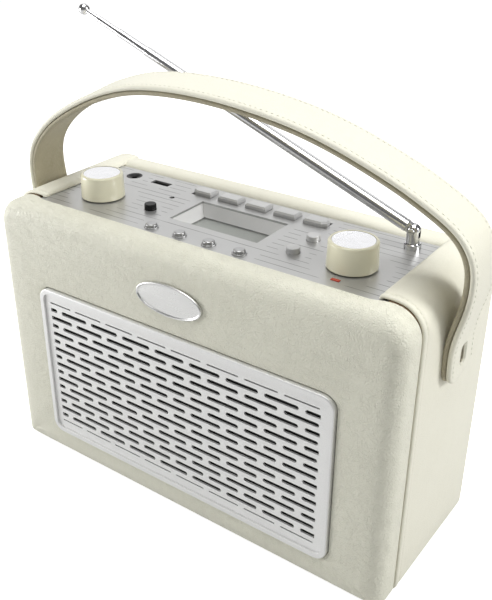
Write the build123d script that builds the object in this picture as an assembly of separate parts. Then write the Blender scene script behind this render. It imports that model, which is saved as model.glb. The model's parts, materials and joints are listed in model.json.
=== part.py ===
from build123d import *
from math import cos, radians, sin, tan
import os

# Leather-covered portable radio with a strap handle, a telescopic antenna, a control
# panel on top and a slotted speaker grille. Millimetres, +Z up, the front faces -Y.
# The origin is the centre of the footprint, on the plane that the rubber feet rest on.

# Cabinet
WIDTH = 260.0
DEPTH = 101.3
FOOT_HEIGHT = 2.5
CHEEK_TOP = 171.2
FRONT_WIDTH = 256.0
FRONT_DEPTH = 17.6
FRONT_TOP = 169.6
TOP_RADIUS = 16.0
BOTTOM_RADIUS = 7.0
FRONT_EDGE_RADIUS = 7.0
SKIN = 2.2
BOARD = 8.0
PADDING = 4.1
SEAM_GAP = 0.3
ROOM_TOP = 150.0
REAR_PANEL_THICKNESS = 3.5
REAR_PANEL_INSET = 0.75
SCREW_RADIUS = 1.5
SCREW_HEAD_RADIUS = 3.0
FOOT_PLACES = [(-112, -24), (-112, 40), (0, 0), (112, -24), (112, 40)]
FOOT_RADIUS = 6.5

# Control plate, and the tray and circuit board under it
PLATE_TOP = 168.4
PLATE_THICKNESS = 1.2
PLATE_WIDTH = 218.0
PLATE_FRONT = -35.25
PLATE_REAR = 35.05
TRAY_THICKNESS = 2.4
LEDGE = 6.0
RAIL_TOP = 170.6
RAIL_BOTTOM = 158.0
BOARD_TOP = 154.0
BOARD_THICKNESS = 1.6
TRAY_POST_X = [-60, 62]
TRAY_POST_Y = [-26, 14]
TRAY_POST_RADIUS = 2.5

# Grille
GRILLE_WIDTH = 196.8
GRILLE_BOTTOM = 20.9
GRILLE_HEIGHT = 100.8
GRILLE_RADIUS = 7.5
RIM = 3.2
RIM_PROUD = 1.6
SLOT_ROWS = 15
SLOT_PITCH_Z = 5.3
SLOT_PITCH_X = 23.5
SLOT_LENGTH = 19.8
SLOT_HEIGHT = 2.5
EDGE_SLOT_HEIGHT = 0.9
SLOT_SHIFT = 11.5
SLOT_FIELD = 181.6

# Badge
BADGE_WIDTH = 43.0
BADGE_HEIGHT = 18.5
BADGE_THICKNESS = 1.8
BADGE_Z = 142.5

# Knobs
KNOB_X = 80.9
KNOB_Y = -10.55
KNOB_RADIUS = 12.6
KNOB_TOP_RADIUS = 12.1
KNOB_BOTTOM = 169.1
KNOB_TOP = 182.7
KNOB_RIM = 1.6
DISC_THICKNESS = 0.8
SHAFT_RADIUS = 3.0
RUNNING = 0.05

# Display
DISPLAY_WIDTH = 57.2
DISPLAY_DEPTH = 29.7
DISPLAY_Y = 0.8
DISPLAY_FLOOR = 160.9
DISPLAY_TAPER = 3.8

# Push buttons and keys, each with a stem that ends above its switch
KEY_COUNT = 5
KEY_FIRST_X = -34.3
KEY_PITCH = 18.72
KEY_Y = 25.35
KEY_LENGTH = 13.4
KEY_WIDTH = 8.0
KEY_HEIGHT = 2.6
KEY_CORNER = 2.6
FUNCTION_X = [-28.5, -9.5, 9.5, 28.5]
FUNCTION_Y = -29.25
FUNCTION_RADIUS = 3.1
FUNCTION_HEIGHT = 2.5
RING_RADIUS = 3.9
RING_HEIGHT = 0.8
ROUND_UPPER = (49.9, 5.55)
ROUND_LOWER = (49.2, -12.55)
ROUND_RADIUS = 3.5
ROUND_HEIGHT = 3.0
POWER = (-45.5, -10.15)
POWER_RADIUS = 3.35
POWER_HEIGHT = 3.4
POWER_RIBS = 18
STEM_BOTTOM = 159.6
SWITCH_TOP = 158.4

# Sockets and lamp
JACK = (-88.6, 25.15)
JACK_RADIUS = 5.0
JACK_BORE = 1.8
USB = (-66.6, 24.45)
USB_WIDTH = 13.2
USB_DEPTH = 5.0
SENSOR_HOLE = (-46.6, 10.05)
SENSOR_RADIUS = 1.5
LAMP = (81.6, -27.45)
LAMP_WIDTH = 4.5
LAMP_DEPTH = 2.0
INLET = (85.0, 24.0)
INLET_RADIUS = 5.5
INLET_BORE = 2.8

# Speaker
SPEAKER_X = -42.0
SPEAKER_Z = 71.3
SPEAKER_RADIUS = 44.0

# Battery box, cells and door
BOX_HALF_WIDTH = 54.0
BOX_BOTTOM = 15.0
BOX_TOP = 73.0
BOX_FRONT = 17.0
BOX_WALL = 1.8
CELL_RADIUS = 13.0
CELL_LENGTH = 49.5
CELL_CAP = 1.5
CELL_CAP_RADIUS = 3.0
DOOR_HALF_WIDTH = 56.0
DOOR_BOTTOM = 14.0
DOOR_TOP = 74.0
DOOR_THICKNESS = 3.2

# Antenna
MAST_X = 94.7
MAST_Y = 25.35
PIVOT_Z = 178.0
MAST_ANGLE = 21.7
TURRET_RADIUS = 3.4
RING_TOP = 171.4
BLADE = 2.4
KNUCKLE_START = 3.9
TUBE_START = 10.0
TUBE_ENDS = [151.5, 181.5, 203.3, 220.4]
TUBE_STARTS = [TUBE_START, 39.0, 61.0, 78.0]
TUBE_RADII = [3.2, 2.75, 2.3, 1.87]
BORE_RADII = [2.83, 2.39, 1.95, 1.5]
ROD_START = 87.0
ROD_RADIUS = 1.42
TIP_CENTRE = 231.8
TIP_RADIUS = 3.2

# Handle: two leather layers on a pair of side studs
STUD_Z = 134.5
HANDLE_LEAN = 6.7
STRAP_THICKNESS = 3.0
LINING_THICKNESS = 2.6
HALF_WIDTH_END = 13.2
HALF_WIDTH_TOP = 12.0
STRAP_END = 14.0
STRAP_SLOT_LENGTH = 8.8
STRAP_SLOT_WIDTH = 3.0
SEAM_X = 133.2
SEAM_ARCH = [(-SEAM_X, 168), (-131.9, 182), (-127.2, 193.3), (-117.8, 204), (-105.4, 213.8),
             (-88, 223.6), (-67.5, 233.0), (-42, 240.6), (-8, 242.9), (28, 240.4), (64, 233.9),
             (100, 220.4), (120, 210.2), (131.6, 202.6), (137.4, 195), (140.1, 187), (140.3, 177),
             (138.8, 166), (135.6, 154), (SEAM_X, 142)]
STUD_INNER_END = 116.0
STUD_RADIUS = 3.0
STUD_HEAD_RADIUS = 5.5
STUD_HEAD_THICKNESS = 1.1
STUD_NUT_RADIUS = 7.5
STUD_NUT_THICKNESS = 2.8

FRONT_Y = -DEPTH / 2
REAR_Y = DEPTH / 2
SEAM_Y = FRONT_Y + FRONT_DEPTH
REAR_PANEL_Y = REAR_Y - REAR_PANEL_INSET - REAR_PANEL_THICKNESS
REAR_FACE_Y = REAR_Y - REAR_PANEL_INSET
TRAY_TOP = PLATE_TOP - PLATE_THICKNESS
TRAY_BOTTOM = TRAY_TOP - TRAY_THICKNESS
INNER_WALL = WIDTH / 2 - SKIN - BOARD
CHEEK_INNER = PLATE_WIDTH / 2
PLATE_Y = (PLATE_FRONT + PLATE_REAR) / 2
PLATE_DEPTH = PLATE_REAR - PLATE_FRONT
GRILLE_Z = GRILLE_BOTTOM + GRILLE_HEIGHT / 2
RIM_Y = FRONT_Y - RIM_PROUD
GRILLE_FACE_Y = RIM_Y + 1.35
BAFFLE_FRONT = FRONT_Y + PADDING
KEY_X = [KEY_FIRST_X + KEY_PITCH * i for i in range(KEY_COUNT)]
SCREW_X = WIDTH / 2 - SKIN - BOARD / 2
SCREW_Z = [20.0, 85.0, 150.0]

os.makedirs("parts", exist_ok=True)


def block(x0, x1, y0, y1, z0, z1):
    """A box between two corners."""
    return Pos((x0 + x1) / 2, (y0 + y1) / 2, (z0 + z1) / 2) * Box(x1 - x0, y1 - y0, z1 - z0)


def post(x, y, radius, z0, z1):
    """An upright cylinder."""
    return Pos(x, y, (z0 + z1) / 2) * Cylinder(radius, z1 - z0)


def prism(outline, y0, y1):
    """Extrude an outline drawn in X and Z from y0 back to y1."""
    return extrude(Plane.XZ.offset(-y1) * outline, y1 - y0)


def lying(x, z, radius, y0, y1):
    """A cylinder lying along Y."""
    return prism(Pos(x, z) * Circle(radius), y0, y1)


def crosswise(y, z, radius, x0, x1):
    """A cylinder lying along X."""
    return Pos((x0 + x1) / 2, y, z) * Rot(0, 90, 0) * Cylinder(radius, abs(x1 - x0))


def case_outline(width, z0, z1, top_radius, bottom_radius):
    """The cabinet's front outline: large radii at the top, small ones at the bottom."""
    outline = Pos(0, (z0 + z1) / 2) * Rectangle(width, z1 - z0)
    corners = outline.vertices().sort_by(Axis.Y)
    outline = fillet(corners[:2], bottom_radius)
    corners = outline.vertices().sort_by(Axis.Y)[-2:]
    return fillet(corners, top_radius)


def band(x0, x1, z0, z1):
    """A rectangle in X and Z."""
    return Pos((x0 + x1) / 2, (z0 + z1) / 2) * Rectangle(x1 - x0, z1 - z0)


def core_outline():
    """The wooden carcass's outline, with the notch that the control panel sits in."""
    outline = case_outline(WIDTH - 2 * SKIN, FOOT_HEIGHT + SKIN, CHEEK_TOP - SKIN,
                           TOP_RADIUS - SKIN, BOTTOM_RADIUS - SKIN)
    notch = CHEEK_INNER + SKIN
    return outline - band(-notch, notch, TRAY_BOTTOM, CHEEK_TOP)


def stud_bore(side, spare):
    """The hole for a handle stud, from inside the cabinet to beyond the leather."""
    return crosswise(0, STUD_Z, STUD_RADIUS + spare, side * (STUD_INNER_END - 2), side * (WIDTH / 2 + 1))


def cabinet_core():
    """Side, bottom and cheek boards as one carcass."""
    room = band(-INNER_WALL, INNER_WALL, FOOT_HEIGHT + SKIN + BOARD, ROOM_TOP)
    throat = band(LEDGE - CHEEK_INNER, CHEEK_INNER - LEDGE, ROOM_TOP, CHEEK_TOP)
    body = prism(core_outline() - room - throat, SEAM_Y, REAR_PANEL_Y)
    body -= block(-CHEEK_INNER, CHEEK_INNER, PLATE_REAR, REAR_PANEL_Y, RAIL_BOTTOM, TRAY_BOTTOM)
    for side in (-1, 1):
        body -= stud_bore(side, RUNNING)
        for z in SCREW_Z:
            body -= lying(side * SCREW_X, z, SCREW_RADIUS + RUNNING, REAR_PANEL_Y - 14, REAR_PANEL_Y)
    return body


def leather_band():
    """The leather wrapped round the sides, the bottom and both cheeks."""
    outline = case_outline(WIDTH, FOOT_HEIGHT, CHEEK_TOP, TOP_RADIUS, BOTTOM_RADIUS)
    outline -= band(-CHEEK_INNER, CHEEK_INNER, TRAY_BOTTOM, CHEEK_TOP + 1)
    lips = outline.vertices().filter_by(lambda v: v.Y > PLATE_TOP and abs(v.X) < CHEEK_INNER + 0.1)
    outline = fillet(lips, 3.0)
    skin = prism(outline - core_outline(), SEAM_Y + SEAM_GAP, REAR_Y)
    return skin - stud_bore(-1, RUNNING) - stud_bore(1, RUNNING)


def front_cover():
    """Padded leather front: a shallow tray whose face wraps round to the band."""
    outline = case_outline(FRONT_WIDTH, FOOT_HEIGHT, FRONT_TOP, TOP_RADIUS - 1, BOTTOM_RADIUS - 1)
    cover = prism(outline, FRONT_Y, SEAM_Y)
    cover = fillet(cover.faces().sort_by(Axis.Y)[0].edges(), FRONT_EDGE_RADIUS)
    inner = case_outline(FRONT_WIDTH - 5, FOOT_HEIGHT + 2.5, FRONT_TOP - 2.5,
                         TOP_RADIUS - 3.5, BOTTOM_RADIUS - 3.5)
    cover -= prism(inner, BAFFLE_FRONT, SEAM_Y)
    opening = RectangleRounded(GRILLE_WIDTH + 0.4, GRILLE_HEIGHT + 0.4, GRILLE_RADIUS + 0.2)
    cover -= prism(Pos(0, GRILLE_Z) * opening, FRONT_Y - 1, BAFFLE_FRONT)
    side = CHEEK_INNER + 0.3
    return cover - block(-side, side, PLATE_FRONT - 0.3, SEAM_Y, TRAY_BOTTOM, FRONT_TOP)


def front_baffle():
    """The board behind the padded front, bored for the speaker."""
    outline = case_outline(FRONT_WIDTH - 5.4, FOOT_HEIGHT + 2.7, FRONT_TOP - 2.7,
                           TOP_RADIUS - 3.7, BOTTOM_RADIUS - 3.7)
    board = prism(outline, BAFFLE_FRONT, SEAM_Y)
    board -= lying(SPEAKER_X, SPEAKER_Z, SPEAKER_RADIUS - 3, BAFFLE_FRONT, SEAM_Y)
    side = CHEEK_INNER + 0.3
    return board - block(-side, side, PLATE_FRONT - 0.3, SEAM_Y, TRAY_BOTTOM - 5, FRONT_TOP)


def grille_frame():
    """The bevelled metal rim, with a flange that the slotted plate rests on."""
    outer = Pos(0, GRILLE_Z) * RectangleRounded(GRILLE_WIDTH, GRILLE_HEIGHT, GRILLE_RADIUS)
    frame = prism(outer, RIM_Y, BAFFLE_FRONT)
    frame = fillet(frame.faces().sort_by(Axis.Y)[0].edges(), 0.9)
    inner = RectangleRounded(GRILLE_WIDTH - 2 * RIM, GRILLE_HEIGHT - 2 * RIM, GRILLE_RADIUS - RIM)
    frame -= prism(Pos(0, GRILLE_Z) * inner, RIM_Y, GRILLE_FACE_Y + 1.2)
    flange = RectangleRounded(GRILLE_WIDTH - 2 * RIM - 3, GRILLE_HEIGHT - 2 * RIM - 3, 2.5)
    frame -= prism(Pos(0, GRILLE_Z) * flange, RIM_Y, BAFFLE_FRONT)
    return frame - prism(Pos(0, GRILLE_Z) * inner, GRILLE_FACE_Y + 2.2, BAFFLE_FRONT)


def slot_row(z, height, shift):
    """One row of round-ended slots, cut off square at the ends of the slotted field."""
    row = Sketch()
    count = int(SLOT_FIELD / SLOT_PITCH_X) + 3
    for i in range(count):
        x = (i - count // 2) * SLOT_PITCH_X + shift
        row += Pos(x, z) * SlotOverall(SLOT_LENGTH, height)
    return row & (Pos(0, z) * Rectangle(SLOT_FIELD, height + 1))


def grille_plate():
    """The slotted plate: full rows staggered by half a pitch, and a thin row at each edge."""
    outline = RectangleRounded(GRILLE_WIDTH - 2 * RIM - 0.3, GRILLE_HEIGHT - 2 * RIM - 0.3,
                               GRILLE_RADIUS - RIM - 0.15)
    outline = Pos(0, GRILLE_Z) * outline
    top_row = GRILLE_Z + SLOT_PITCH_Z * (SLOT_ROWS - 1) / 2
    for row in range(-1, SLOT_ROWS + 1):
        edge = row in (-1, SLOT_ROWS)
        shift = -SLOT_SHIFT / 2 + (SLOT_SHIFT if row % 2 else 0) + 4.0
        height = EDGE_SLOT_HEIGHT if edge else SLOT_HEIGHT
        nudge = 0.5 * (SLOT_HEIGHT - EDGE_SLOT_HEIGHT) * (1 if row > 0 else -1) if edge else 0
        outline -= slot_row(top_row - row * SLOT_PITCH_Z + nudge, height, shift)
    return prism(outline, GRILLE_FACE_Y, GRILLE_FACE_Y + 1.2)


def grille_cloth():
    """Black cloth panel behind the slots."""
    y = GRILLE_FACE_Y + 2.3
    cloth = RectangleRounded(GRILLE_WIDTH - 2 * RIM - 0.4, GRILLE_HEIGHT - 2 * RIM - 0.4, 4.0)
    return prism(Pos(0, GRILLE_Z) * cloth, y, y + 0.6)


def badge():
    """Plain oval badge with a softened edge."""
    oval = prism(Pos(0, BADGE_Z) * Ellipse(BADGE_WIDTH / 2, BADGE_HEIGHT / 2),
                 FRONT_Y - BADGE_THICKNESS, FRONT_Y)
    return fillet(oval.faces().sort_by(Axis.Y)[0].edges(), 0.8)


def rear_panel():
    """Rear board with the battery door's opening, screw holes and the inlet's hole."""
    outline = case_outline(WIDTH - 2 * SKIN - 0.4, FOOT_HEIGHT + SKIN + 0.2, CHEEK_TOP - SKIN - 0.2,
                           TOP_RADIUS - SKIN, BOTTOM_RADIUS - SKIN)
    side = CHEEK_INNER + 0.3
    outline -= band(-side, side, RAIL_BOTTOM - 0.3, CHEEK_TOP)
    outline -= band(-side - SKIN, side + SKIN, TRAY_BOTTOM - 0.2, CHEEK_TOP)
    outline -= band(-DOOR_HALF_WIDTH - 0.3, DOOR_HALF_WIDTH + 0.3, DOOR_BOTTOM - 0.3, DOOR_TOP + 0.3)
    panel = prism(outline, REAR_PANEL_Y, REAR_FACE_Y)
    panel -= lying(INLET[0], INLET[1], INLET_RADIUS + 0.1, REAR_PANEL_Y, REAR_FACE_Y)
    for side in (-1, 1):
        for z in SCREW_Z:
            panel -= lying(side * SCREW_X, z, SCREW_RADIUS + 0.1, REAR_PANEL_Y, REAR_FACE_Y)
            panel -= lying(side * SCREW_X, z, SCREW_HEAD_RADIUS + 0.1, REAR_FACE_Y - 1.2, REAR_FACE_Y)
    hinge = DOOR_HALF_WIDTH + 3
    return panel - crosswise(door_axis_y(), DOOR_BOTTOM + DOOR_THICKNESS / 2, 1.26, -hinge, hinge)


def case_screws():
    """Six screws that hold the rear panel."""
    screws = []
    for side in (-1, 1):
        for z in SCREW_Z:
            x = side * SCREW_X
            screw = lying(x, z, SCREW_RADIUS, REAR_PANEL_Y - 12, REAR_FACE_Y - 1.1)
            screw += lying(x, z, SCREW_HEAD_RADIUS, REAR_FACE_Y - 1.2, REAR_FACE_Y)
            screw -= block(x - 2, x + 2, REAR_FACE_Y - 0.6, REAR_FACE_Y, z - 0.4, z + 0.4)
            screws.append(screw)
    return screws


def rear_rail():
    """The padded leather roll along the back edge of the control panel."""
    rail = block(-CHEEK_INNER + 0.3, CHEEK_INNER - 0.3, PLATE_REAR + 0.3, REAR_Y,
                 RAIL_BOTTOM, RAIL_TOP)
    tops = rail.edges().filter_by(Axis.X).sort_by(Axis.Z)[-2:]
    return fillet(tops, 5.0)


def feet():
    """Rubber feet under the bottom: one at each corner, and one in the middle."""
    pads = []
    for x, y in FOOT_PLACES:
        pad = post(x, y, FOOT_RADIUS, 0, FOOT_HEIGHT)
        pads.append(chamfer(pad.faces().sort_by(Axis.Z)[0].edges(), 0.6))
    return pads


def panel_openings(spare):
    """Everything that comes up through the panel, as one cutter with a clearance."""
    low = TRAY_BOTTOM - 1
    high = PLATE_TOP + 1
    cutters = [post(side * KNOB_X, KNOB_Y, 4.5 + spare, low, high) for side in (-1, 1)]
    for x in KEY_X:
        hx = KEY_LENGTH / 2 + 0.25 + spare
        hy = KEY_WIDTH / 2 + 0.25 + spare
        cutters.append(block(x - hx, x + hx, KEY_Y - hy, KEY_Y + hy, low, high))
    cutters += [post(x, FUNCTION_Y, FUNCTION_RADIUS + 0.2 + spare, low, high) for x in FUNCTION_X]
    for place in (ROUND_UPPER, ROUND_LOWER):
        cutters.append(post(place[0], place[1], ROUND_RADIUS + 0.2 + spare, low, high))
    cutters.append(post(POWER[0], POWER[1], POWER_RADIUS + 0.2 + spare, low, high))
    cutters.append(post(SENSOR_HOLE[0], SENSOR_HOLE[1], SENSOR_RADIUS, low, high))
    hx = LAMP_WIDTH / 2 + 0.1 + spare / 2
    hy = LAMP_DEPTH / 2 + 0.1 + spare / 2
    cutters.append(block(LAMP[0] - hx, LAMP[0] + hx, LAMP[1] - hy, LAMP[1] + hy, low, high))
    cutters.append(post(MAST_X, MAST_Y, 4.0, low, high))
    return cutters


def control_plate():
    """The silver control plate."""
    plate = Pos(0, PLATE_Y, TRAY_TOP + PLATE_THICKNESS / 2) * Box(PLATE_WIDTH - 0.4, PLATE_DEPTH,
                                                                 PLATE_THICKNESS)
    plate -= panel_openings(0)
    low = TRAY_TOP - 1
    high = PLATE_TOP + 1
    plate -= post(JACK[0], JACK[1], JACK_RADIUS, low, high)
    plate -= Pos(USB[0], USB[1], PLATE_TOP) * Box(USB_WIDTH, USB_DEPTH, 4)
    return plate - Pos(0, DISPLAY_Y, PLATE_TOP) * Box(DISPLAY_WIDTH, DISPLAY_DEPTH, 4)


def control_tray():
    """The moulded tray under the plate, with the display's well and the board's posts."""
    tray = block(0.3 - CHEEK_INNER, CHEEK_INNER - 0.3, PLATE_FRONT + 0.2, PLATE_REAR - 0.2,
                 TRAY_BOTTOM, TRAY_TOP)
    tray += Pos(0, DISPLAY_Y, (DISPLAY_FLOOR + TRAY_BOTTOM) / 2) * Box(
        DISPLAY_WIDTH + 5, DISPLAY_DEPTH + 5, TRAY_BOTTOM - DISPLAY_FLOOR)
    for x in TRAY_POST_X:
        for y in TRAY_POST_Y:
            tray += post(x, y, TRAY_POST_RADIUS, BOARD_TOP, TRAY_BOTTOM)
    tray -= panel_openings(0.4)
    well_top = Pos(0, DISPLAY_Y, TRAY_TOP) * Rectangle(DISPLAY_WIDTH, DISPLAY_DEPTH)
    well_floor = Pos(0, DISPLAY_Y, DISPLAY_FLOOR) * Rectangle(DISPLAY_WIDTH - 2 * DISPLAY_TAPER,
                                                              DISPLAY_DEPTH - 2 * DISPLAY_TAPER)
    tray -= loft([well_floor.face(), well_top.face()])
    tray -= Pos(JACK[0], JACK[1], TRAY_BOTTOM) * Box(12.4, 12.4, 6)
    return tray - Pos(USB[0], USB[1], TRAY_BOTTOM) * Box(USB_WIDTH + 1.4, USB_DEPTH + 1.4, 6)


def display_window():
    """Clear window at the foot of the display's well."""
    top = DISPLAY_FLOOR
    return Pos(0, DISPLAY_Y, top - 0.5) * Box(DISPLAY_WIDTH - 2, DISPLAY_DEPTH - 2, 1.0)


def lcd_module():
    """Liquid crystal display between the window and the circuit board."""
    height = DISPLAY_FLOOR - 1 - BOARD_TOP
    return Pos(0, DISPLAY_Y, BOARD_TOP + height / 2) * Box(DISPLAY_WIDTH - 2, DISPLAY_DEPTH - 2, height)


def main_board():
    """Main circuit board, cut away round the antenna."""
    board = block(-99, 99, -32.6, 32, BOARD_TOP - BOARD_THICKNESS, BOARD_TOP)
    return board - block(MAST_X - 9, 99, MAST_Y - 9, 32, BOARD_TOP - 2, BOARD_TOP + 1)


def button_places():
    """The centre of every push button."""
    places = [(x, KEY_Y) for x in KEY_X]
    places += [(x, FUNCTION_Y) for x in FUNCTION_X]
    return places + [ROUND_UPPER, ROUND_LOWER, POWER]


def tact_switches():
    """One small switch on the board under every push button."""
    switches = []
    for x, y in button_places():
        switch = block(x - 3, x + 3, y - 3, y + 3, BOARD_TOP, SWITCH_TOP - 1.2)
        switches.append(switch + post(x, y, 1.75, SWITCH_TOP - 1.2, SWITCH_TOP))
    return switches


def rotary_controls():
    """Potentiometer and rotary encoder bodies on the board, bored for their shafts."""
    controls = []
    for side in (-1, 1):
        x = side * KNOB_X
        body = block(x - 7, x + 7, KNOB_Y - 7, KNOB_Y + 7, BOARD_TOP, BOARD_TOP + 7)
        body += post(x, KNOB_Y, 4.3, BOARD_TOP + 7, PLATE_TOP)
        controls.append(body - post(x, KNOB_Y, SHAFT_RADIUS + RUNNING, BOARD_TOP + 2, PLATE_TOP))
    return controls


def knob_shaft(side):
    """Control shaft with a flat that drives the knob."""
    x = side * KNOB_X
    shaft = post(x, KNOB_Y, SHAFT_RADIUS, BOARD_TOP + 2.2, KNOB_TOP - 4)
    return shaft - block(x + 1.5, x + 4, KNOB_Y - 4, KNOB_Y + 4, KNOB_BOTTOM + 1, KNOB_TOP)


def knob(side):
    """Turned knob shell, hollow below, with a shallow seat for its polished disc."""
    x = side * KNOB_X
    shell = Pos(x, KNOB_Y, (KNOB_BOTTOM + KNOB_TOP) / 2) * Cone(KNOB_RADIUS, KNOB_TOP_RADIUS,
                                                               KNOB_TOP - KNOB_BOTTOM)
    shell = fillet(shell.faces().sort_by(Axis.Z)[-1].edges(), 1.0)
    shell = fillet(shell.faces().sort_by(Axis.Z)[0].edges(), 0.4)
    shell -= post(x, KNOB_Y, KNOB_TOP_RADIUS - KNOB_RIM, KNOB_TOP - DISC_THICKNESS, KNOB_TOP)
    shell -= post(x, KNOB_Y, KNOB_RADIUS - 2, KNOB_BOTTOM, KNOB_BOTTOM + 6)
    shell += post(x, KNOB_Y, 5.5, KNOB_BOTTOM + 1, KNOB_BOTTOM + 6)
    socket = post(x, KNOB_Y, SHAFT_RADIUS + 0.02, KNOB_BOTTOM, KNOB_TOP - 4)
    socket -= block(x + 1.52, x + 4, KNOB_Y - 4, KNOB_Y + 4, KNOB_BOTTOM + 1, KNOB_TOP)
    return shell - socket


def knob_disc(side):
    """Polished disc let into the top of the knob."""
    return post(side * KNOB_X, KNOB_Y, KNOB_TOP_RADIUS - KNOB_RIM - 0.15,
                KNOB_TOP - DISC_THICKNESS, KNOB_TOP - 0.15)


def preset_key(index):
    """A long key with a bevelled top; the end keys have clipped outer corners."""
    x = KEY_X[index]
    top = PLATE_TOP + KEY_HEIGHT
    outline = Pos(x, KEY_Y) * Rectangle(KEY_LENGTH, KEY_WIDTH)
    if index == 0:
        outline = chamfer(outline.vertices().sort_by(Axis.X)[:2], KEY_CORNER)
    if index == KEY_COUNT - 1:
        outline = chamfer(outline.vertices().sort_by(Axis.X)[-2:], KEY_CORNER)
    cap = extrude(Plane.XY.offset(TRAY_BOTTOM - 1.6) * outline, top - TRAY_BOTTOM + 1.6)
    cap = chamfer(cap.faces().sort_by(Axis.Z)[-1].edges(), 0.9)
    flange = Pos(x, KEY_Y, TRAY_BOTTOM - 1.1) * Box(KEY_LENGTH + 2, KEY_WIDTH + 2, 1.0)
    return cap + flange + post(x, KEY_Y, 1.6, STEM_BOTTOM, TRAY_BOTTOM - 1)


def push_button(place, radius, height, edge):
    """A round push button with a retaining flange and a stem."""
    x, y = place
    cap = post(x, y, radius, TRAY_BOTTOM - 1.6, PLATE_TOP + height)
    cap = fillet(cap.faces().sort_by(Axis.Z)[-1].edges(), edge)
    cap += post(x, y, radius + 1.2, TRAY_BOTTOM - 1.6, TRAY_BOTTOM - 0.6)
    return cap + post(x, y, 1.6, STEM_BOTTOM, TRAY_BOTTOM - 1)


def power_button():
    """Round button with fine ribs round its side."""
    cap = push_button(POWER, POWER_RADIUS, POWER_HEIGHT, 0.5)
    ribs = []
    for i in range(POWER_RIBS):
        angle = radians(i * 360 / POWER_RIBS)
        x = POWER[0] + (POWER_RADIUS + 0.1) * cos(angle)
        y = POWER[1] + (POWER_RADIUS + 0.1) * sin(angle)
        ribs.append(post(x, y, 0.3, PLATE_TOP + 0.6, PLATE_TOP + POWER_HEIGHT + 1))
    return cap - ribs


def button_rings():
    """A trim ring round each of the four front buttons."""
    rings = []
    for x in FUNCTION_X:
        ring = post(x, FUNCTION_Y, RING_RADIUS, PLATE_TOP, PLATE_TOP + RING_HEIGHT)
        ring = fillet(ring.faces().sort_by(Axis.Z)[-1].edges(), 0.3)
        rings.append(ring - post(x, FUNCTION_Y, FUNCTION_RADIUS + 0.15, PLATE_TOP, PLATE_TOP + 1))
    return rings


def headphone_jack():
    """Jack socket: a square body on the board and a round collar in the plate."""
    x, y = JACK
    body = block(x - 6, x + 6, y - 6, y + 6, BOARD_TOP, TRAY_TOP)
    body += post(x, y, JACK_RADIUS - 0.1, TRAY_TOP, PLATE_TOP - 0.2)
    body -= Pos(x, y, PLATE_TOP - 0.7) * Cone(JACK_BORE, JACK_RADIUS - 1.2, 1.0)
    return body - post(x, y, JACK_BORE, BOARD_TOP + 1, PLATE_TOP)


def usb_socket():
    """Data socket: a folded metal shell, and a contact tongue deep inside it."""
    x, y = USB
    height = TRAY_TOP - BOARD_TOP
    middle = BOARD_TOP + height / 2
    shell = Pos(x, y, middle) * Box(USB_WIDTH + 1, USB_DEPTH + 1, height)
    shell -= Pos(x, y, middle + 1) * Box(USB_WIDTH + 0.2, USB_DEPTH + 0.2, height)
    return shell + block(x - 5.5, x + 5.5, y - 0.9, y + 0.9, BOARD_TOP + 0.5, BOARD_TOP + 6)


def indicator_lens():
    """Small lens of the indicator lamp, standing a little above the plate."""
    x, y = LAMP
    hx = LAMP_WIDTH / 2
    hy = LAMP_DEPTH / 2
    return block(x - hx, x + hx, y - hy, y + hy, BOARD_TOP, PLATE_TOP + 0.3)


def dc_inlet():
    """Barrel inlet for an external supply, in the rear panel."""
    x, z = INLET
    inlet = lying(x, z, INLET_RADIUS, REAR_PANEL_Y - 8, REAR_FACE_Y)
    inlet += lying(x, z, INLET_RADIUS + 1.5, REAR_PANEL_Y - 1.5, REAR_PANEL_Y)
    return inlet - lying(x, z, INLET_BORE, REAR_FACE_Y - 9.5, REAR_FACE_Y)


def turned(points):
    """Revolve a closed outline of (radius, y) points about the speaker's axis."""
    outline = make_face(Polyline(*points, close=True))
    return Pos(SPEAKER_X, 0, SPEAKER_Z) * revolve(outline, Axis.Y)


def speaker_basket():
    """Pressed speaker frame: mounting flange, conical wall and back ring."""
    y = SEAM_Y
    wall = [(SPEAKER_RADIUS + 4, y), (SPEAKER_RADIUS + 4, y + 1.5), (SPEAKER_RADIUS - 2, y + 1.5),
            (24, y + 22), (24, y + 24), (13, y + 24), (13, y + 22.8), (22.6, y + 22.8),
            (SPEAKER_RADIUS - 4, y + 1.5), (SPEAKER_RADIUS - 4, y)]
    return turned(wall)


def speaker_magnet():
    """Ring magnet with its plates, behind the basket."""
    y = SEAM_Y + 24
    return turned([(0, y), (24, y), (24, y + 14), (0, y + 14)])


def speaker_cone():
    """Paper cone with a rolled edge and a dust cap."""
    y = SEAM_Y
    cone = [(SPEAKER_RADIUS - 4.5, y + 0.3), (SPEAKER_RADIUS - 6.5, y + 1.6), (12, y + 20),
            (10.5, y + 20), (10.5, y + 18), (6, y + 16.2), (0, y + 15.4), (0, y + 14.6),
            (6.3, y + 15.3), (11, y + 17.4), (12, y + 18.6), (SPEAKER_RADIUS - 7, y + 0.6),
            (SPEAKER_RADIUS - 5.5, y - 0.8), (SPEAKER_RADIUS - 4.5, y - 0.8)]
    return turned(cone)


def battery_box():
    """Open-backed box for the four cells."""
    box = block(-BOX_HALF_WIDTH, BOX_HALF_WIDTH, BOX_FRONT, REAR_PANEL_Y, BOX_BOTTOM, BOX_TOP)
    inner = BOX_HALF_WIDTH - BOX_WALL
    return box - block(-inner, inner, BOX_FRONT + BOX_WALL, REAR_PANEL_Y,
                       BOX_BOTTOM + BOX_WALL, BOX_TOP - BOX_WALL)


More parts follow.
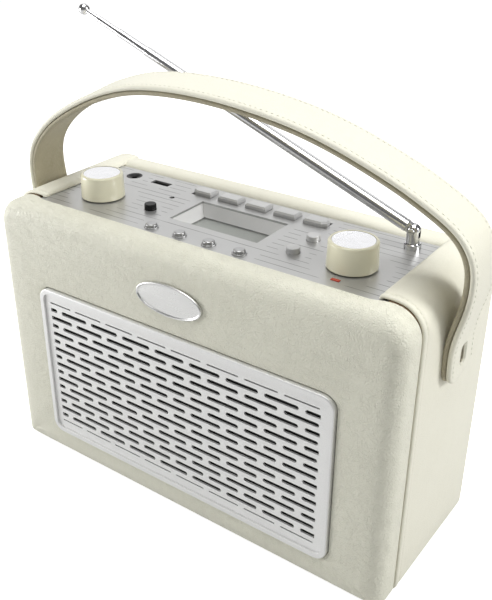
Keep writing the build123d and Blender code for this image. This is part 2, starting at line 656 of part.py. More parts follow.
def battery_cells():
    """Four cells, end to end in two rows."""
    cells = []
    y = BOX_FRONT + BOX_WALL + CELL_RADIUS + 0.3
    for z in (BOX_BOTTOM + BOX_WALL + CELL_RADIUS + 0.3, BOX_TOP - BOX_WALL - CELL_RADIUS - 0.3):
        for side in (-1, 1):
            start = side * BOX_HALF_WIDTH / 2 - CELL_LENGTH / 2 - side
            shoulder = start + CELL_LENGTH - CELL_CAP
            cell = crosswise(y, z, CELL_RADIUS, start, shoulder)
            cells.append(cell + crosswise(y, z, CELL_CAP_RADIUS, shoulder, shoulder + CELL_CAP))
    return cells


def door_axis_y():
    """The door turns about the middle of its own thickness."""
    return REAR_FACE_Y - DOOR_THICKNESS / 2


def battery_door():
    """Battery door with a rounded lower edge, two pivot pins and a finger recess."""
    half = DOOR_HALF_WIDTH
    axis_z = DOOR_BOTTOM + DOOR_THICKNESS / 2
    door = block(-half, half, REAR_FACE_Y - DOOR_THICKNESS, REAR_FACE_Y, axis_z, DOOR_TOP)
    door += crosswise(door_axis_y(), axis_z, DOOR_THICKNESS / 2, -half, half)
    door += crosswise(door_axis_y(), axis_z, 1.2, -half - 2.5, half + 2.5)
    grip = Pos(0, DOOR_TOP - 8) * SlotOverall(24, 7)
    return door - prism(grip, REAR_FACE_Y - 1.4, REAR_FACE_Y)


def antenna_bush():
    """Ring and threaded neck that hold the antenna, with its nut under the tray."""
    bush = post(MAST_X, MAST_Y, 3.95, TRAY_BOTTOM - 8, PLATE_TOP)
    bush += post(MAST_X, MAST_Y, 4.25, PLATE_TOP, RING_TOP)
    bush = chamfer(bush.faces().sort_by(Axis.Z)[-1].edges(), 0.4)
    bush -= post(MAST_X, MAST_Y, 2.5 + RUNNING, TRAY_BOTTOM - 9, RING_TOP)
    hexagon = RegularPolygon(6.5, 6) - Circle(3.98)
    nut = extrude(Plane.XY.offset(TRAY_BOTTOM - 3.4) * (Pos(MAST_X, MAST_Y) * hexagon), 3.2)
    return [bush, nut]


def antenna_turret():
    """Turning fork on a stem in the bush, split for the knuckle's blade."""
    turret = post(MAST_X, MAST_Y, 2.5, TRAY_BOTTOM - 8, RING_TOP + 0.2)
    turret += post(MAST_X, MAST_Y, TURRET_RADIUS, RING_TOP + 0.1, PIVOT_Z)
    turret += Pos(MAST_X, MAST_Y, PIVOT_Z) * Sphere(TURRET_RADIUS)
    gap = BLADE / 2 + 0.08
    turret -= block(MAST_X - 5, MAST_X + 5, MAST_Y - gap, MAST_Y + gap, PIVOT_Z - 3.4, PIVOT_Z + 5)
    turret -= lying(MAST_X, PIVOT_Z, 0.92, MAST_Y - 5, MAST_Y + 5)
    for side in (-1, 1):
        turret -= lying(MAST_X, PIVOT_Z, 1.75, MAST_Y + side * 4.35 - 1.5, MAST_Y + side * 4.35 + 1.5)
    return turret


def antenna_pivot():
    """Screw across the fork, with a slotted head at the front and a riveted end."""
    screw = lying(MAST_X, PIVOT_Z, 0.9, MAST_Y - 2.9, MAST_Y + 2.9)
    screw += lying(MAST_X, PIVOT_Z, 1.65, MAST_Y - 3.6, MAST_Y - 2.9)
    screw += lying(MAST_X, PIVOT_Z, 1.4, MAST_Y + 2.9, MAST_Y + 3.4)
    return screw - block(MAST_X - 2, MAST_X + 2, MAST_Y - 3.7, MAST_Y - 3.3, PIVOT_Z - 0.22,
                         PIVOT_Z + 0.22)


def along_mast(shape):
    """Place a shape drawn along +X from the fork's pivot onto the raised mast."""
    return Pos(MAST_X, MAST_Y, PIVOT_Z) * Rot(0, 180 + MAST_ANGLE, 0) * shape


def rod(radius, start, end):
    """A round bar along +X."""
    return crosswise(0, 0, radius, start, end)


def antenna_knuckle():
    """Blade between the fork's cheeks, and the grooved collar that carries the tubes."""
    blade = Rot(90, 0, 0) * Cylinder(3.0, BLADE)
    blade += Pos(2.6, 0, 0) * Box(5.2, BLADE, 5.2)
    collar = rod(3.2, KNUCKLE_START, TUBE_START)
    collar -= rod(3.3, 5.4, 6.1) - rod(2.9, 5.3, 6.2)
    knuckle = blade + collar + rod(BORE_RADII[0] - 0.03, TUBE_START, TUBE_START + 3)
    return along_mast(knuckle - Rot(90, 0, 0) * Cylinder(0.95, BLADE + 1))


def antenna_tube(index):
    """One tube of the mast."""
    start = TUBE_STARTS[index]
    end = TUBE_ENDS[index]
    tube = rod(TUBE_RADII[index], start, end)
    tube = chamfer(tube.faces().sort_by(Axis.X)[-1].edges(), 0.15)
    return along_mast(tube - rod(BORE_RADII[index], start, end))


def antenna_tip():
    """The thin inner rod with its ball end."""
    return along_mast(rod(ROD_RADIUS, ROD_START, TIP_CENTRE) + Pos(TIP_CENTRE, 0, 0) * Sphere(TIP_RADIUS))


def handle_seam():
    """The seam between the handle's layers: short runs joined by the largest tangent arcs."""
    foot = STUD_Z - STRAP_END - 2
    points = [Vector(x, z) for x, z in [(-SEAM_X, foot), *SEAM_ARCH, (SEAM_X, foot)]]
    radii = []
    for before, corner, after in zip(points, points[1:], points[2:]):
        run_in = corner - before
        run_out = after - corner
        half_turn = radians(run_in.get_angle(run_out)) / 2
        radii.append(0.45 * min(run_in.length, run_out.length) / tan(half_turn))
    return Wire(FilletPolyline(*points, radius=radii).edges())


def beside(seam, distance):
    """The seam moved outwards by a distance, or inwards where the distance is negative."""
    if distance == 0:
        return seam
    side = Side.LEFT if distance > 0 else Side.RIGHT
    return seam.offset_2d(abs(distance), side=side, closed=False)


def handle_layer(inside, outside):
    """A layer of the handle between two distances from the seam."""
    seam = handle_seam()
    inner = beside(seam, inside)
    outer = beside(seam, outside)
    ends = [Line(inner @ 0, outer @ 0), Line(inner @ 1, outer @ 1)]
    layer = prism(make_face(Wire([*inner.edges(), *outer.edges(), *ends])), -30, 30)
    return layer & handle_side_view()


def handle_side_view():
    """The handle's width seen from the side: rounded ends, a little narrower over the top."""
    foot = STUD_Z - STRAP_END
    right = [(HALF_WIDTH_END, foot), (HALF_WIDTH_END, 160), (HALF_WIDTH_TOP, 205), (HALF_WIDTH_TOP, 250)]
    left = [(-y, z) for y, z in reversed(right)]
    outline = make_face(Polyline(*right, *left, close=True))
    outline = fillet(outline.vertices().sort_by(Axis.Y)[:2], 9.0)
    side_plane = Plane(origin=(-150, 0, 0), x_dir=(0, 1, 0), z_dir=(1, 0, 0))
    return extrude(side_plane * outline, 300)


def leaning(shape):
    """Tip a shape forward about the handle's studs to where the handle rests."""
    return Pos(0, 0, STUD_Z) * Rot(HANDLE_LEAN, 0, 0) * Pos(0, 0, -STUD_Z) * shape


def handle_strap():
    """Outer leather layer, with a slot at each end over the stud's head."""
    strap = handle_layer(0.1, STRAP_THICKNESS)
    pocket = STUD_HEAD_THICKNESS + 0.5
    opening = Rot(0, 90, 0) * extrude(SlotOverall(STRAP_SLOT_LENGTH, STRAP_SLOT_WIDTH), 4, both=True)
    for side in (-1, 1):
        strap -= crosswise(0, STUD_Z, STUD_HEAD_RADIUS + 0.3, side * SEAM_X, side * (SEAM_X + pocket))
        strap -= Pos(side * SEAM_X, 0, STUD_Z) * opening
    return leaning(strap)


def handle_lining():
    """Inner leather layer, bored for the studs."""
    lining = handle_layer(-LINING_THICKNESS, 0)
    inner = SEAM_X - LINING_THICKNESS - 1
    for side in (-1, 1):
        lining -= crosswise(0, STUD_Z, STUD_RADIUS + 0.08, side * inner, side * (SEAM_X + 1))
    return leaning(lining)


def handle_studs():
    """A flanged stud through each side of the cabinet, with its nut inside."""
    pieces = []
    head = SEAM_X + 0.3
    for side in (-1, 1):
        stud = crosswise(0, STUD_Z, STUD_RADIUS, side * STUD_INNER_END, side * head)
        stud += crosswise(0, STUD_Z, STUD_HEAD_RADIUS, side * head, side * (head + STUD_HEAD_THICKNESS))
        pieces.append(stud)
        nut = crosswise(0, STUD_Z, STUD_NUT_RADIUS, side * (INNER_WALL - STUD_NUT_THICKNESS),
                        side * INNER_WALL)
        pieces.append(nut - stud_bore(side, 0.02))
    return pieces


def export(name, shape):
    """Write one node; a list of solids becomes one compound."""
    if isinstance(shape, list):
        shape = Compound(children=shape)
    export_step(shape, f"parts/{name}.step")


def main():
    export("feet", feet())
    export("cabinet_core", cabinet_core())
    export("leather_band", leather_band())
    export("front_cover", front_cover())
    export("front_baffle", front_baffle())
    export("grille_frame", grille_frame())
    export("grille_plate", grille_plate())
    export("grille_cloth", grille_cloth())
    export("badge", badge())
    export("rear_panel", rear_panel())
    export("rear_rail", rear_rail())
    export("case_screws", case_screws())
    export("control_plate", control_plate())
    export("control_tray", control_tray())
    export("display_window", display_window())
    export("lcd_module", lcd_module())
    export("main_board", main_board())
    export("tact_switches", tact_switches())
    export("rotary_controls", rotary_controls())
    for name, side in (("volume", -1), ("tuning", 1)):
        export(f"{name}_shaft", knob_shaft(side))
        export(f"{name}_knob", knob(side))
        export(f"{name}_disc", knob_disc(side))
    for i in range(KEY_COUNT):
        export(f"preset_key_{i + 1}", preset_key(i))
    for i, x in enumerate(FUNCTION_X):
        button = push_button((x, FUNCTION_Y), FUNCTION_RADIUS, FUNCTION_HEIGHT, 0.9)
        export(f"function_button_{i + 1}", button)
    export("button_rings", button_rings())
    export("round_button_upper", push_button(ROUND_UPPER, ROUND_RADIUS, ROUND_HEIGHT, 0.5))
    export("round_button_lower", push_button(ROUND_LOWER, ROUND_RADIUS, ROUND_HEIGHT, 0.5))
    export("power_button", power_button())
    export("headphone_jack", headphone_jack())
    export("usb_socket", usb_socket())
    export("indicator_lens", indicator_lens())
    export("dc_inlet", dc_inlet())
    export("speaker_basket", speaker_basket())
    export("speaker_magnet", speaker_magnet())
    export("speaker_cone", speaker_cone())
    export("battery_box", battery_box())
    export("battery_cells", battery_cells())
    export("battery_door", battery_door())
    export("antenna_bush", antenna_bush())
    export("antenna_turret", antenna_turret())
    export("antenna_pivot", antenna_pivot())
    export("antenna_knuckle", antenna_knuckle())
    for i in range(len(TUBE_ENDS)):
        export(f"antenna_tube_{i + 1}", antenna_tube(i))
    export("antenna_tip", antenna_tip())
    export("handle_strap", handle_strap())
    export("handle_lining", handle_lining())
    export("handle_studs", handle_studs())


main()
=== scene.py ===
import json
from math import cos, floor, pi, radians, sin, sqrt

import bmesh
import bpy
from mathutils import Matrix, Vector


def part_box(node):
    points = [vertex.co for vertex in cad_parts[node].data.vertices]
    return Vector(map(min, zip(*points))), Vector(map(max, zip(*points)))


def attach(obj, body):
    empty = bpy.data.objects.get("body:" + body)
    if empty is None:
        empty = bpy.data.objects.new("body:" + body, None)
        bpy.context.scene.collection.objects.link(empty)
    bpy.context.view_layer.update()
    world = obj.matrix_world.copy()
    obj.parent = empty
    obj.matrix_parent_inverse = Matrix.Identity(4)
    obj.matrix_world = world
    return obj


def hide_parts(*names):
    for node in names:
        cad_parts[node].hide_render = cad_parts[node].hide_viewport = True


# Leather portable radio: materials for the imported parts, and padded leather pieces that
# stand for the plain leather solids. Metres; the front faces -Y, as in the frame.
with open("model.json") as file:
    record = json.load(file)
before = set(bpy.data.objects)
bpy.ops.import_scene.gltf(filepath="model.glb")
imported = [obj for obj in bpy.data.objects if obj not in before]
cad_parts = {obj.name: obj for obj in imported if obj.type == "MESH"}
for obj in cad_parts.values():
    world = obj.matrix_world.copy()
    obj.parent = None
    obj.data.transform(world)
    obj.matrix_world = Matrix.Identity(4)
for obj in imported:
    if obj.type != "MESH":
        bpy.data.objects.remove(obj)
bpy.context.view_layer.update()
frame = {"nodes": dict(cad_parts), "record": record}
NODES = frame["nodes"]
MM = 0.001

BAND_LOW, BAND_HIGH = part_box("leather_band")
COVER_LOW, COVER_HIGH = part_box("front_cover")
BAFFLE_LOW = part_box("front_baffle")[0]
RAIL_LOW, RAIL_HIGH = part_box("rear_rail")
PLATE_LOW, PLATE_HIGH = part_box("control_plate")
GRILLE_LOW, GRILLE_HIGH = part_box("grille_frame")
BADGE_LOW, BADGE_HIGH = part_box("badge")
STUDS_LOW, STUDS_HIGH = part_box("handle_studs")
VOLUME_LOW, VOLUME_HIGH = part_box("volume_knob")
TUNING_LOW, TUNING_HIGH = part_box("tuning_knob")

# The leather band round the sides: its corners, and the lip that overhangs the control panel.
CHEEK_INNER = PLATE_HIGH.x + 0.2 * MM
TOP_RADIUS = 16 * MM
BOTTOM_RADIUS = 7 * MM
LIP_RADIUS = 2.5 * MM
LIP_OVERHANG = 2.8 * MM
SKIN = 2.1 * MM

# The padded front: its corners, its rolled edge, and how far the padding fills it out sideways.
COVER_TOP_RADIUS = 15 * MM
COVER_BOTTOM_RADIUS = 6 * MM
COVER_ROLL = 9.0 * MM
COVER_DROP = 8.0 * MM
COVER_THICK = 2.5 * MM
COVER_FULLNESS = 1.2 * MM
OPENING_RADIUS = 7.7 * MM

# Cloth pressure in each padded piece, and how far its points may move.
BAND_PRESSURE, BAND_REACH = 4.0, 1.6 * MM
COVER_PRESSURE, COVER_REACH = 1.5, 1.2 * MM
RAIL_PRESSURE, RAIL_REACH = 2.0, 1.2 * MM
PUFF_FRAMES = 20

# The ruled lines on the control panel, in millimetres.
RULE_PITCH = 5.17
RULE_START = 32.3


# ---------------------------------------------------------------- materials

class Finish:
    """A node material whose patterns are laid out in millimetres on the object itself."""

    def __init__(self, name, colour, roughness, metallic=0.0, **sockets):
        self.material = bpy.data.materials.new(name)
        self.material.use_nodes = True
        self.tree = self.material.node_tree
        self.shader = self.tree.nodes["Principled BSDF"]
        self.colour = colour
        self.roughness = roughness
        self.shader.inputs["Base Color"].default_value = (*colour, 1)
        self.shader.inputs["Roughness"].default_value = roughness
        self.shader.inputs["Metallic"].default_value = metallic
        for socket, value in sockets.items():
            self.shader.inputs[socket.replace("_", " ")].default_value = value
        place = self.node("ShaderNodeTexCoord")
        self.mm = self.vector("SCALE", place.outputs["Object"], scale=1 / MM)
        self.normal = None

    def node(self, kind, **settings):
        made = self.tree.nodes.new(kind)
        for key, value in settings.items():
            setattr(made, key, value)
        return made

    def feed(self, socket, value):
        """Link an output to a socket, or set a plain value on it."""
        if isinstance(value, bpy.types.NodeSocket):
            self.tree.links.new(value, socket)
        elif value is not None:
            socket.default_value = value

    def vector(self, operation, a, b=None, scale=None):
        made = self.node("ShaderNodeVectorMath", operation=operation)
        self.feed(made.inputs[0], a)
        self.feed(made.inputs[1], b)
        self.feed(made.inputs[3], scale)
        return made.outputs["Value" if operation in ("LENGTH", "DISTANCE") else "Vector"]

    def math(self, operation, a, b=None, c=None):
        made = self.node("ShaderNodeMath", operation=operation)
        for socket, value in zip(made.inputs, (a, b, c)):
            self.feed(socket, value)
        return made.outputs[0]

    def stretched(self, x, y, z):
        """The place in millimetres, with each axis scaled."""
        return self.vector("MULTIPLY", self.mm, (x, y, z))

    def noise(self, size, detail=2.0, place=None, roughness=0.5, distortion=0.0):
        """Cloudy noise whose lumps are about size millimetres across, around 0.5."""
        made = self.node("ShaderNodeTexNoise")
        self.feed(made.inputs["Vector"], place or self.mm)
        made.inputs["Scale"].default_value = 1 / size
        made.inputs["Detail"].default_value = detail
        made.inputs["Roughness"].default_value = roughness
        made.inputs["Distortion"].default_value = distortion
        return made.outputs["Fac"]

    def cells(self, size, feature="DISTANCE_TO_EDGE", place=None):
        """Irregular cells about size millimetres across."""
        made = self.node("ShaderNodeTexVoronoi", feature=feature)
        self.feed(made.inputs["Vector"], place or self.mm)
        made.inputs["Scale"].default_value = 1 / size
        return made.outputs["Distance"]

    def ramp(self, value, start, end, low=0.0, high=1.0, smooth=False):
        """A value from start to end, turned into one from low to high and held there."""
        made = self.node("ShaderNodeMapRange")
        made.interpolation_type = "SMOOTHSTEP" if smooth else "LINEAR"
        for socket, number in zip(made.inputs, (value, start, end, low, high)):
            self.feed(socket, number)
        return made.outputs[0]

    def tint(self, fac, other, base=None):
        """The base colour, moving towards another where fac rises."""
        made = self.node("ShaderNodeMix", data_type="RGBA")
        self.feed(made.inputs["Factor"], fac)
        self.feed(made.inputs["A"], base or (*self.colour, 1))
        self.feed(made.inputs["B"], (*other, 1))
        self.feed(self.shader.inputs["Base Color"], made.outputs["Result"])
        return made.outputs["Result"]

    def rough(self, fac, low, high):
        self.feed(self.shader.inputs["Roughness"], self.ramp(fac, 0.25, 0.75, low, high))

    def bump(self, height, depth, strength=1.0):
        """Relief of the given depth in millimetres, on top of any earlier relief."""
        made = self.node("ShaderNodeBump")
        made.inputs["Strength"].default_value = strength
        made.inputs["Distance"].default_value = depth * MM
        self.feed(made.inputs["Height"], height)
        self.feed(made.inputs["Normal"], self.normal)
        self.normal = made.outputs["Normal"]
        self.feed(self.shader.inputs["Normal"], self.normal)


def leather(name, colour, shade, roughness, grain=1.3, creases=0.95, depth=0.17):
    """Coated leather: pebbled grain, fine creases, and cloudy changes of tone and gloss."""
    skin = Finish(name, colour, roughness, Specular_IOR_Level=0.42, Sheen_Weight=0.06,
                  Sheen_Roughness=0.5)
    wander = skin.noise(7.0, 3.0)
    drifted = skin.vector("ADD", skin.mm, skin.vector("SCALE", wander, scale=2.4))
    pebbles = skin.ramp(skin.cells(grain, place=drifted), 0.0, 0.32, smooth=True)
    pores = skin.noise(0.5, 3.0)
    folds = skin.noise(5.5, 4.0, roughness=0.62, distortion=1.2)
    crease = skin.ramp(skin.math("ABSOLUTE", skin.math("SUBTRACT", folds, 0.5)), 0.0, 0.05)
    tone = skin.noise(46.0, 2.0)
    cloud = skin.noise(4.5, 4.0, skin.stretched(1.5, 1.0, 0.6), 0.6)
    patch = skin.math("MULTIPLY", skin.ramp(tone, 0.3, 0.7, 0.3, 0.7),
                      skin.ramp(cloud, 0.3, 0.7, 0.35, 1.2))
    skin.tint(skin.math("MULTIPLY", skin.ramp(pebbles, 0.0, 1.0, 1.0, 0.45), patch), shade)
    skin.rough(skin.math("ADD", skin.math("MULTIPLY", pores, 0.5), skin.math("MULTIPLY", tone, 0.5)),
               roughness - 0.07, roughness + 0.1)
    skin.bump(crease, depth * creases * 1.4, 0.6)
    skin.bump(pebbles, depth, 0.75)
    skin.bump(pores, depth * 0.5, 0.5)
    return skin.material


def brushed(name, colour, roughness, metallic=1.0, along=(0.02, 1.0, 1.0), amount=0.08):
    """Metal with fine lines drawn out along one axis."""
    metal = Finish(name, colour, roughness, metallic)
    lines = metal.noise(0.25, 3.0, metal.stretched(*along))
    cloud = metal.noise(18.0, 2.0)
    metal.rough(metal.math("ADD", metal.math("MULTIPLY", lines, 0.6), metal.math("MULTIPLY", cloud, 0.4)),
                roughness - amount, roughness + amount)
    metal.tint(metal.ramp(cloud, 0.3, 0.7, 0.0, 0.35), [c * 0.86 for c in colour])
    metal.bump(lines, 0.012, 0.4)
    return metal.material


def sprayed(name, colour, roughness, speck=0.35, metallic=0.85, depth=0.02):
    """Metallic lacquer with a fine sparkle."""
    paint = Finish(name, colour, roughness, metallic)
    flakes = paint.cells(speck, "F1")
    cloud = paint.noise(25.0, 2.0)
    paint.tint(paint.ramp(flakes, 0.1, 0.8, 0.0, 0.4), [c * 0.8 for c in colour])
    paint.rough(paint.math("ADD", paint.math("MULTIPLY", flakes, 0.5), paint.math("MULTIPLY", cloud, 0.5)),
                roughness - 0.06, roughness + 0.08)
    paint.bump(flakes, depth, 0.35)
    return paint.material


def moulded(name, colour, roughness, grain=0.35, depth=0.02, **sockets):
    """Moulded plastic or rubber: a fine even texture, and a little mottling and handling wear."""
    plastic = Finish(name, colour, roughness, **sockets)
    fine = plastic.noise(grain, 3.0)
    cloud = plastic.noise(14.0, 3.0)
    plastic.tint(plastic.ramp(cloud, 0.35, 0.75, 0.0, 0.5), [c * 0.88 for c in colour])
    plastic.rough(plastic.math("ADD", plastic.math("MULTIPLY", fine, 0.5),
                               plastic.math("MULTIPLY", cloud, 0.5)),
                  max(roughness - 0.07, 0.04), roughness + 0.09)
    plastic.bump(fine, depth, 0.4)
    return plastic.material


def polished(name, colour, roughness=0.08, ripple=0.006, metallic=1.0):
    """Plated or polished metal with faint ripples and finger marks."""
    metal = Finish(name, colour, roughness, metallic)
    marks = metal.noise(6.0, 4.0, distortion=1.0)
    metal.rough(marks, max(roughness - 0.04, 0.02), roughness + 0.07)
    metal.tint(metal.ramp(marks, 0.4, 0.8, 0.0, 0.4), [c * 0.9 for c in colour])
    metal.bump(metal.noise(2.2, 2.0), ripple, 0.5)
    return metal.material


def outside_circle(finish, x, y, centre, radius, edge=0.4):
    """1 outside a circle on the panel and 0 inside it, in millimetres."""
    dx = finish.math("SUBTRACT", x, centre[0])
    dy = finish.math("SUBTRACT", y, centre[1])
    square = finish.math("ADD", finish.math("MULTIPLY", dx, dx), finish.math("MULTIPLY", dy, dy))
    return finish.ramp(finish.math("SQRT", square), radius - edge, radius + edge)


def outside_box(finish, x, y, low, high, edge=0.4):
    """1 outside a rectangle on the panel and 0 inside it, in millimetres."""
    middle = [(a + b) / 2 for a, b in zip(low, high)]
    half = [(b - a) / 2 for a, b in zip(low, high)]
    dx = finish.math("SUBTRACT", finish.math("ABSOLUTE", finish.math("SUBTRACT", x, middle[0])), half[0])
    dy = finish.math("SUBTRACT", finish.math("ABSOLUTE", finish.math("SUBTRACT", y, middle[1])), half[1])
    return finish.ramp(finish.math("MAXIMUM", dx, dy), -edge, edge)


def in_mm(low, high):
    """The X and Y corners of a box in millimetres."""
    return (low.x / MM, low.y / MM), (high.x / MM, high.y / MM)


def ruled_panel():
    """Satin silver plate with thin printed lines, left clear round the controls."""
    pitch = RULE_PITCH
    panel = Finish("ruled_silver_panel", (0.54, 0.54, 0.535), 0.34, 0.7)
    axes = panel.node("ShaderNodeSeparateXYZ")
    panel.feed(axes.inputs[0], panel.mm)
    x, y = axes.outputs["X"], axes.outputs["Y"]
    phase = panel.math("ADD", panel.math("DIVIDE", y, pitch), 100 - RULE_START / pitch)
    from_line = panel.math("ABSOLUTE", panel.math("SUBTRACT", panel.math("FRACT", phase), 0.5))
    line = panel.ramp(from_line, 0.5 - 0.27 / pitch, 0.5 - 0.14 / pitch)
    shown = line
    for low, high in ((VOLUME_LOW, VOLUME_HIGH), (TUNING_LOW, TUNING_HIGH)):
        centre = ((low.x + high.x) / 2 / MM, (low.y + high.y) / 2 / MM)
        shown = panel.math("MULTIPLY", shown, outside_circle(panel, x, y, centre, 20.5))
    tray_low, tray_high = in_mm(*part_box("display_window"))
    keys_low = in_mm(*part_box("preset_key_1"))[0]
    keys_high = in_mm(*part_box("preset_key_5"))[1]
    clear = [((tray_low[0] - 7, tray_low[1] - 4), (tray_high[0] + 7, keys_high[1] + 6)),
             ((keys_low[0] - 4, keys_low[1] - 6), (keys_high[0] + 4, keys_high[1] + 6)),
             in_mm(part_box("function_button_1")[0] - Vector((5 * MM, 4 * MM, 0)),
                   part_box("function_button_4")[1] + Vector((5 * MM, 4 * MM, 0)))]
    for low, high in clear:
        shown = panel.math("MULTIPLY", shown, outside_box(panel, x, y, low, high))
    for node, radius in (("round_button_upper", 8), ("round_button_lower", 8), ("power_button", 7),
                         ("headphone_jack", 10), ("usb_socket", 9)):
        low, high = in_mm(*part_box(node))
        centre = ((low[0] + high[0]) / 2, (low[1] + high[1]) / 2)
        shown = panel.math("MULTIPLY", shown, outside_circle(panel, x, y, centre, radius))
    faded = panel.ramp(panel.noise(9.0, 2.0), 0.3, 0.6, 0.55, 1.0)
    panel.tint(panel.math("MULTIPLY", shown, faded), (0.13, 0.13, 0.125))
    fine = panel.noise(0.3, 3.0)
    panel.rough(panel.noise(11.0, 3.0), 0.3, 0.39)
    panel.bump(fine, 0.003, 0.2)
    return panel.material


def woven(name, colour, thread, thread_size):
    """Plain weave seen close, from two crossing sets of ridges."""
    cloth = Finish(name, colour, 0.95, Sheen_Weight=0.2)
    axes = cloth.node("ShaderNodeSeparateXYZ")
    cloth.feed(axes.inputs[0], cloth.vector("SCALE", cloth.mm, scale=2 * pi / thread_size))
    weave = cloth.math("MULTIPLY", cloth.math("SINE", axes.outputs["X"]),
                       cloth.math("SINE", axes.outputs["Z"]))
    cloth.tint(cloth.ramp(weave, -1.0, 1.0), thread)
    cloth.bump(weave, 0.15, 0.8)
    return cloth.material


def wood(name):
    """Pressed fibre board."""
    board = Finish(name, (0.23, 0.14, 0.075), 0.8)
    fibres = board.noise(1.2, 5.0, board.stretched(0.25, 1.0, 1.0), 0.7)
    board.tint(board.ramp(fibres, 0.35, 0.7), (0.36, 0.24, 0.14))
    board.bump(fibres, 0.08, 0.6)
    return board.material


def clear_window():
    """Thin clear acrylic with light scuffs."""
    window = Finish("clear_acrylic", (0.9, 0.92, 0.91), 0.1, Alpha=0.14)
    window.rough(window.noise(5.0, 4.0, distortion=1.0), 0.05, 0.16)
    return window.material


def display_face():
    """Grey liquid crystal face with a faint dot matrix."""
    face = Finish("lcd_face", (0.37, 0.385, 0.36), 0.35)
    axes = face.node("ShaderNodeSeparateXYZ")
    face.feed(axes.inputs[0], face.vector("SCALE", face.mm, scale=1 / 0.55))
    dots = face.math("MULTIPLY", face.math("PINGPONG", axes.outputs["X"], 1.0),
                     face.math("PINGPONG", axes.outputs["Y"], 1.0))
    face.tint(face.ramp(dots, 0.0, 0.12, 0.3, 0.0), (0.25, 0.27, 0.25))
    face.rough(face.noise(8.0), 0.3, 0.42)
    return face.material


def make_materials():
    """One material for each slot name in the record, and a smoother cream leather.

    The smoother one is for the band, the rear roll and the handle; the front's grain is stronger.
    """
    cream = (0.785, 0.777, 0.66)
    cream_shade = (0.69, 0.68, 0.56)
    silver = (0.8, 0.8, 0.79)
    return {
        "cream_leather": leather("cream_leather", cream, cream_shade, 0.44),
        "smooth_cream_leather": leather("smooth_cream_leather", (0.80, 0.783, 0.665), (0.75, 0.733, 0.615),
                                        0.44, 1.1, 0.6, 0.06),
        "lining_leather": leather("tan_lining_leather", (0.47, 0.43, 0.31), (0.36, 0.32, 0.21),
                                  0.6, 0.9, 1.0),
        "rear_leatherette": leather("rear_leatherette", (0.77, 0.745, 0.64), cream_shade, 0.5, 1.6, 0.3),
        "wood_board": wood("fibre_board"),
        "foot_rubber": moulded("foot_rubber", (0.03, 0.03, 0.03), 0.75, 0.5, 0.05),
        "grille_silver": sprayed("grille_silver", (0.88, 0.88, 0.87), 0.44, metallic=0.5),
        "black_cloth": woven("speaker_cloth", (0.008, 0.008, 0.008), (0.02, 0.02, 0.02), 0.9),
        "badge_chrome": brushed("badge_satin", silver, 0.3),
        "screw_steel": brushed("zinc_steel", (0.55, 0.55, 0.54), 0.35),
        "panel_silver": ruled_panel(),
        "tray_grey": moulded("tray_grey", (0.74, 0.74, 0.73), 0.5, 0.5, 0.03),
        "window_clear": clear_window(),
        "lcd_grey": display_face(),
        "board_green": moulded("board_green", (0.02, 0.12, 0.05), 0.4, 1.5, 0.03),
        "black_plastic": moulded("black_plastic", (0.008, 0.008, 0.008), 0.35, Specular_IOR_Level=0.3),
        "knob_cream": moulded("knob_cream", (0.84, 0.81, 0.61), 0.22, 0.6, 0.006, Coat_Weight=0.4,
                              Coat_Roughness=0.08),
        "disc_polished": polished("disc_polished", (0.88, 0.88, 0.9), 0.16),
        "button_chrome": polished("button_chrome", (0.5, 0.5, 0.5), 0.36, 0.0),
        "key_grey": moulded("key_grey", (0.6, 0.6, 0.595), 0.32, 0.4, 0.012, Metallic=0.35),
        "socket_steel": brushed("socket_steel", (0.45, 0.45, 0.45), 0.3),
        "lens_red": moulded("lens_red", (0.5, 0.035, 0.012), 0.18, 0.8, 0.01, Coat_Weight=0.5),
        "speaker_black": moulded("speaker_frame_black", (0.03, 0.03, 0.03), 0.4),
        "magnet_iron": moulded("magnet_iron", (0.07, 0.07, 0.07), 0.6, 0.6, 0.05),
        "cone_paper": moulded("cone_paper", (0.05, 0.05, 0.05), 0.9, 0.8, 0.08),
        "cell_wrap": moulded("cell_wrap", (0.05, 0.07, 0.25), 0.25),
        "antenna_chrome": polished("antenna_chrome", (0.74, 0.74, 0.75), 0.15),
        "stud_beige": brushed("stud_beige", (0.5, 0.46, 0.38), 0.4, 0.6),
    }


MATERIALS = make_materials()


def dress_cad_nodes():
    """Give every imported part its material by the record's slot."""
    for row in frame["record"]["subparts"]:
        part = NODES[row["node"]]
        for place in part.material_slots:
            place.material = MATERIALS[row["material_slot"]]


# ---------------------------------------------------------------- mesh helpers

def trace(start, heading, moves):
    """Points and left-hand normals along a path of straight runs and turns to the right.

    A move is (length, 0, count) for a run, or (radius, degrees, count) for a turn.
    """
    x, z = start
    angle = radians(heading)
    rows = [(Vector((x, 0, z)), Vector((-sin(angle), 0, cos(angle))))]
    for size, turn, count in moves:
        for _ in range(count):
            if turn:
                step = radians(turn) / count
                chord = 2 * size * sin(step / 2)
                x += chord * cos(angle - step / 2)
                z += chord * sin(angle - step / 2)
                angle -= step
            else:
                x += size / count * cos(angle)
                z += size / count * sin(angle)
            rows.append((Vector((x, 0, z)), Vector((-sin(angle), 0, cos(angle)))))
    return rows


def lofted(name, sections, closed_path=False, capped=False):
    """A mesh of quads through a row of closed sections with the same number of points."""
    mesh = bmesh.new()
    rings = [[mesh.verts.new(p) for p in section] for section in sections]
    pairs = list(zip(rings, rings[1:]))
    if closed_path:
        pairs.append((rings[-1], rings[0]))
    for one, two in pairs:
        count = len(one)
        for i in range(count):
            j = (i + 1) % count
            mesh.faces.new((one[i], one[j], two[j], two[i]))
    if capped:
        mesh.faces.new(rings[0])
        mesh.faces.new(rings[-1])
    bmesh.ops.recalc_face_normals(mesh, faces=mesh.faces)
    return finish_mesh(name, mesh)


